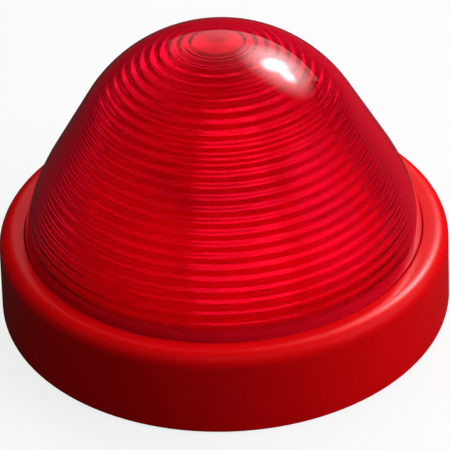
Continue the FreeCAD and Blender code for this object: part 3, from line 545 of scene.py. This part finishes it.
rib_mirror = lens_tree.nodes.new("ShaderNodeBsdfGlossy")
rib_mirror.inputs["Color"].default_value = (1, 1, 1, 1)
rib_mirror.inputs["Roughness"].default_value = RIB_GLOSS
rib_fresnel = lens_tree.nodes.new("ShaderNodeFresnel")
rib_fresnel.inputs["IOR"].default_value = RIB_IOR
mirror_share = lens_tree.nodes.new("ShaderNodeMath")
mirror_share.operation = "MULTIPLY"
lens_tree.links.new(satin_face.outputs["Fac"], mirror_share.inputs[0])
link_scaled(lens_tree, rib_fresnel.outputs["Fac"], RIB_MIRROR, 1.0, mirror_share.inputs[1])
lens_mix = lens_tree.nodes.new("ShaderNodeMixShader")
lens_tree.links.new(mirror_share.outputs[0], lens_mix.inputs["Fac"])
lens_tree.links.new(lens_shader.outputs[0], lens_mix.inputs[1])
lens_tree.links.new(rib_mirror.outputs[0], lens_mix.inputs[2])
lens_tree.links.new(lens_mix.outputs[0], lens_tree.nodes["Material Output"].inputs["Surface"])

turning = turning_tree()
lens_mesh = node_mesh(
    "lens_dome_ribbed",
    outline_mesh("lens_outline", lens_outline),
    turning,
    Segments=LENS_SEGMENTS,
    Path_radius=FOOT_R,
    Rib_height=RIB_H,
    Finish=clear_red,
)
add_keys(lens_mesh)
lens = bpy.data.objects.new("lens_dome_ribbed", outward(lens_mesh))
bpy.context.scene.collection.objects.link(lens)
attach(lens, "lens")
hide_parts("lens_dome")


# Collar: opaque glossy red ring whose four lugs run under the base's ramps and so hold the dome down.
# Injection-moulded ABS with a drafted side, a rounded crest and a lip that rolls in to the dome.
COLLAR_RED = (0.76, 0.002, 0.004)
COLLAR_SHEEN = (1.0, 0.2, 0.22, 1)
COLLAR_IOR = 1.5
collar = welded_copy("collar", "collar_ring", sharp=25.0)
gloss_red = moulded_finish(
    "gloss_red_abs", COLLAR_RED, roughness=0.26, mottle=0.03, grain=0.6 * MM, depth=0.004 * MM,
    IOR=COLLAR_IOR, Specular_Tint=COLLAR_SHEEN, Specular_IOR_Level=0.22,
)
collar.data.materials.append(gloss_red)


# Floor: a plain pale sheet under the lamp, white to the eye and keeping the lamp's soft shadow.
# Matt paper; seen through the red dome it is white as well, and its image in the collar is dim.
FLOOR_WHITE = 0.9
FLOOR_BOUNCE = 0.02
FLOOR_ROUGHNESS = 0.9
FLOOR_GLOW = 0.8
MIRRORED_GLOW = 0.01
SEEN_THROUGH_GLOW = 1.0
FLOOR_HALF = 6.0
floor_mesh = bpy.data.meshes.new("floor")
floor_corners = [(-FLOOR_HALF, -FLOOR_HALF, 0), (FLOOR_HALF, -FLOOR_HALF, 0)]
floor_corners += [(FLOOR_HALF, FLOOR_HALF, 0), (-FLOOR_HALF, FLOOR_HALF, 0)]
floor_mesh.from_pydata(floor_corners, [], [(0, 1, 2, 3)])
floor = bpy.data.objects.new("floor", floor_mesh)
bpy.context.scene.collection.objects.link(floor)
pale = bpy.data.materials.new("pale_floor")
pale.use_nodes = True
floor_tree = pale.node_tree
paper = floor_tree.nodes["Principled BSDF"]
paper.inputs["Roughness"].default_value = FLOOR_ROUGHNESS
paper.inputs["Specular IOR Level"].default_value = 0.0
glow = floor_tree.nodes.new("ShaderNodeEmission")
rays = floor_tree.nodes.new("ShaderNodeLightPath")
seen_directly = rays.outputs["Is Camera Ray"]
link_scaled(floor_tree, seen_directly, FLOOR_BOUNCE, FLOOR_WHITE, paper.inputs["Base Color"])
glow_share = None
ray_glows = (
    ("Is Camera Ray", FLOOR_GLOW),
    ("Is Glossy Ray", MIRRORED_GLOW),
    ("Is Transmission Ray", SEEN_THROUGH_GLOW),
)
for ray, part in ray_glows:
    weighed = floor_tree.nodes.new("ShaderNodeMath")
    weighed.operation = "MULTIPLY"
    weighed.inputs[1].default_value = part
    floor_tree.links.new(rays.outputs[ray], weighed.inputs[0])
    if glow_share is None:
        glow_share = weighed.outputs[0]
        continue
    larger = floor_tree.nodes.new("ShaderNodeMath")
    larger.operation = "MAXIMUM"
    floor_tree.links.new(glow_share, larger.inputs[0])
    floor_tree.links.new(weighed.outputs[0], larger.inputs[1])
    glow_share = larger.outputs[0]
floor_mix = floor_tree.nodes.new("ShaderNodeMixShader")
floor_tree.links.new(glow_share, floor_mix.inputs["Fac"])
floor_tree.links.new(paper.outputs[0], floor_mix.inputs[1])
floor_tree.links.new(glow.outputs[0], floor_mix.inputs[2])
floor_tree.links.new(floor_mix.outputs[0], floor_tree.nodes["Material Output"].inputs["Surface"])
floor_mesh.materials.append(pale)


# Studio light: a large soft box at the right with weak fills, and boxes whose light the rings throw back.
# The polished skin shows a broad ceiling panel, two small bare lamps with their halo, and a dim side card.
# All are rectangles at one distance round the lamp, in a room that is white to the eye and dim to the rest.
LAMP_AIM = Vector((0, 0, 25 * MM))
LAMP_DISTANCE = 0.9
WINDOW_COOL = (0.6, 1.0, 1.0)
CARD_VIOLET = (0.5, 0.10, 1.0)
ROUND_FADE = (0.5, 0.5, 0.5)
CEILING_FADE = (0.35, 0.1, 0.9)
ROOM_DIM = 0.01
ROOM_THROUGH_DOME = 0.2


def soft_box(name, azimuth, elevation, width, height, radiance, rays, colour=(1, 1, 1), fade=None):
    """Rectangular lamp at an angle round the object (0 = camera side, 90 = right), in degrees and metres.

    It is seen by the kinds of ray named: shading, mirror for polished faces, inside for the dome's wall.
    A fade is the place on the box where the light is full and the reach at which it ends, as shares.
    """
    data = bpy.data.lights.new(name, "AREA")
    data.shape = "RECTANGLE"
    data.size = width
    data.size_y = height
    data.color = colour
    data.energy = radiance * math.pi * width * height
    lamp = bpy.data.objects.new(name, data)
    around = math.radians(azimuth)
    above = math.radians(elevation)
    level = LAMP_DISTANCE * math.cos(above)
    place = (level * math.sin(around), -level * math.cos(around), LAMP_DISTANCE * math.sin(above))
    lamp.location = LAMP_AIM + Vector(place)
    lamp.rotation_euler = (LAMP_AIM - lamp.location).to_track_quat("-Z", "Y").to_euler()
    lamp.visible_diffuse = "shading" in rays
    lamp.visible_glossy = "mirror" in rays
    lamp.visible_transmission = "inside" in rays
    bpy.context.scene.collection.objects.link(lamp)
    if fade is None:
        return
    data.use_nodes = True
    tree = data.node_tree
    place_on_box = tree.nodes.new("ShaderNodeNewGeometry")
    from_middle = tree.nodes.new("ShaderNodeVectorMath")
    from_middle.operation = "DISTANCE"
    from_middle.inputs[1].default_value = (fade[0], fade[1], 0)
    falloff = tree.nodes.new("ShaderNodeMapRange")
    falloff.interpolation_type = "SMOOTHSTEP"
    falloff.inputs["From Min"].default_value = fade[2]
    falloff.inputs["From Max"].default_value = 0.0
    tree.links.new(place_on_box.outputs["Parametric"], from_middle.inputs[0])
    tree.links.new(from_middle.outputs["Value"], falloff.inputs["Value"])
    tree.links.new(falloff.outputs["Result"], tree.nodes["Emission"].inputs["Strength"])


# Each lamp: azimuth, elevation, width, height, radiance, and the rays that see it.
soft_box("right_box", 85, 30, 0.9, 0.68, 4.2, ("shading", "inside"))
soft_box("front_fill", 15, 55, 0.8, 0.6, 1.4, ("shading",))
soft_box("left_fill", -70, 45, 0.6, 0.6, 0.4, ("shading",))
soft_box("back_fill", 165, 55, 0.8, 0.6, 2.6, ("shading",))
soft_box("front_rib_box", 11, 43, 0.84, 0.58, 12.0, ("inside",), colour=WINDOW_COOL)
soft_box("right_rib_box", 62, 45, 0.80, 0.60, 6.0, ("inside",), colour=WINDOW_COOL)
soft_box("back_rib_box", 180, 40, 1.20, 0.50, 2.3, ("inside",))
soft_box("left_rib_box", -86, 48, 1.80, 0.50, 2.6, ("inside",))
soft_box("ceiling", 165, 50, 1.17, 0.95, 1.7, ("mirror",), fade=CEILING_FADE)
soft_box("hot_left", 139.5, 44.5, 0.23, 0.33, 70.0, ("mirror",), fade=ROUND_FADE)
soft_box("hot_right", 128.5, 41.7, 0.21, 0.19, 45.0, ("mirror",), fade=ROUND_FADE)
soft_box("hot_halo", 137.5, 43.5, 0.80, 0.68, 18.0, ("mirror",), fade=ROUND_FADE)
soft_box("side_card", 70, 10, 0.60, 0.75, 0.3, ("mirror",), colour=CARD_VIOLET)
world = bpy.data.worlds.new("studio")
world.use_nodes = True
world_rays = world.node_tree.nodes.new("ShaderNodeLightPath")
room = world.node_tree.nodes["Background"]
room.inputs["Color"].default_value = (1, 1, 1, 1)
room_share = world.node_tree.nodes.new("ShaderNodeMath")
room_share.operation = "MAXIMUM"
world.node_tree.links.new(world_rays.outputs["Is Camera Ray"], room_share.inputs[0])
through_dome = world_rays.outputs["Is Transmission Ray"]
link_scaled(world.node_tree, through_dome, ROOM_DIM, ROOM_THROUGH_DOME, room_share.inputs[1])
world.node_tree.links.new(room_share.outputs[0], room.inputs["Strength"])
bpy.context.scene.world = world
bpy.context.scene.view_settings.view_transform = "Standard"


# Camera: a long lens close by, looking from 34 degrees above the wall plane, turned by two degrees.
# Its place is found from the image width, the focal length in pixels and the pixel of one known point.
CAMERA_ELEVATION = math.radians(34.02)
CAMERA_ROLL = math.radians(1.93)
CAMERA_DISTANCE = 318.5 * MM
CAMERA_PIXELS = 1460.6
FRAME_PIXELS = 450
SENSOR_WIDTH = 36.0
CLIP_START = 0.01
TARGET = Vector((0, 0, 20 * MM))
TARGET_PIXEL = (222.93, 208.91)
back = Vector((0, -math.cos(CAMERA_ELEVATION), math.sin(CAMERA_ELEVATION)))
rise = Vector((0, math.sin(CAMERA_ELEVATION), math.cos(CAMERA_ELEVATION)))
side = Vector((1, 0, 0))
across = side * math.cos(CAMERA_ROLL) - rise * math.sin(CAMERA_ROLL)
upward = side * math.sin(CAMERA_ROLL) + rise * math.cos(CAMERA_ROLL)
eye = TARGET + back * CAMERA_DISTANCE
pixel = CAMERA_DISTANCE / CAMERA_PIXELS
middle = FRAME_PIXELS / 2
aim = TARGET + across * (middle - TARGET_PIXEL[0]) * pixel - upward * (middle - TARGET_PIXEL[1]) * pixel
depth_axis = (eye - aim).normalized()
across = (across - depth_axis * across.dot(depth_axis)).normalized()
upward = depth_axis.cross(across)
camera_data = bpy.data.cameras.new("camera")
camera_data.sensor_width = SENSOR_WIDTH
camera_data.lens = SENSOR_WIDTH * CAMERA_PIXELS / FRAME_PIXELS
camera_data.clip_start = CLIP_START
camera = bpy.data.objects.new("camera", camera_data)
turn = Matrix((across, upward, depth_axis)).transposed().to_4x4()
camera.matrix_world = Matrix.Translation(eye) @ turn
bpy.context.scene.collection.objects.link(camera)
bpy.context.scene.camera = camera
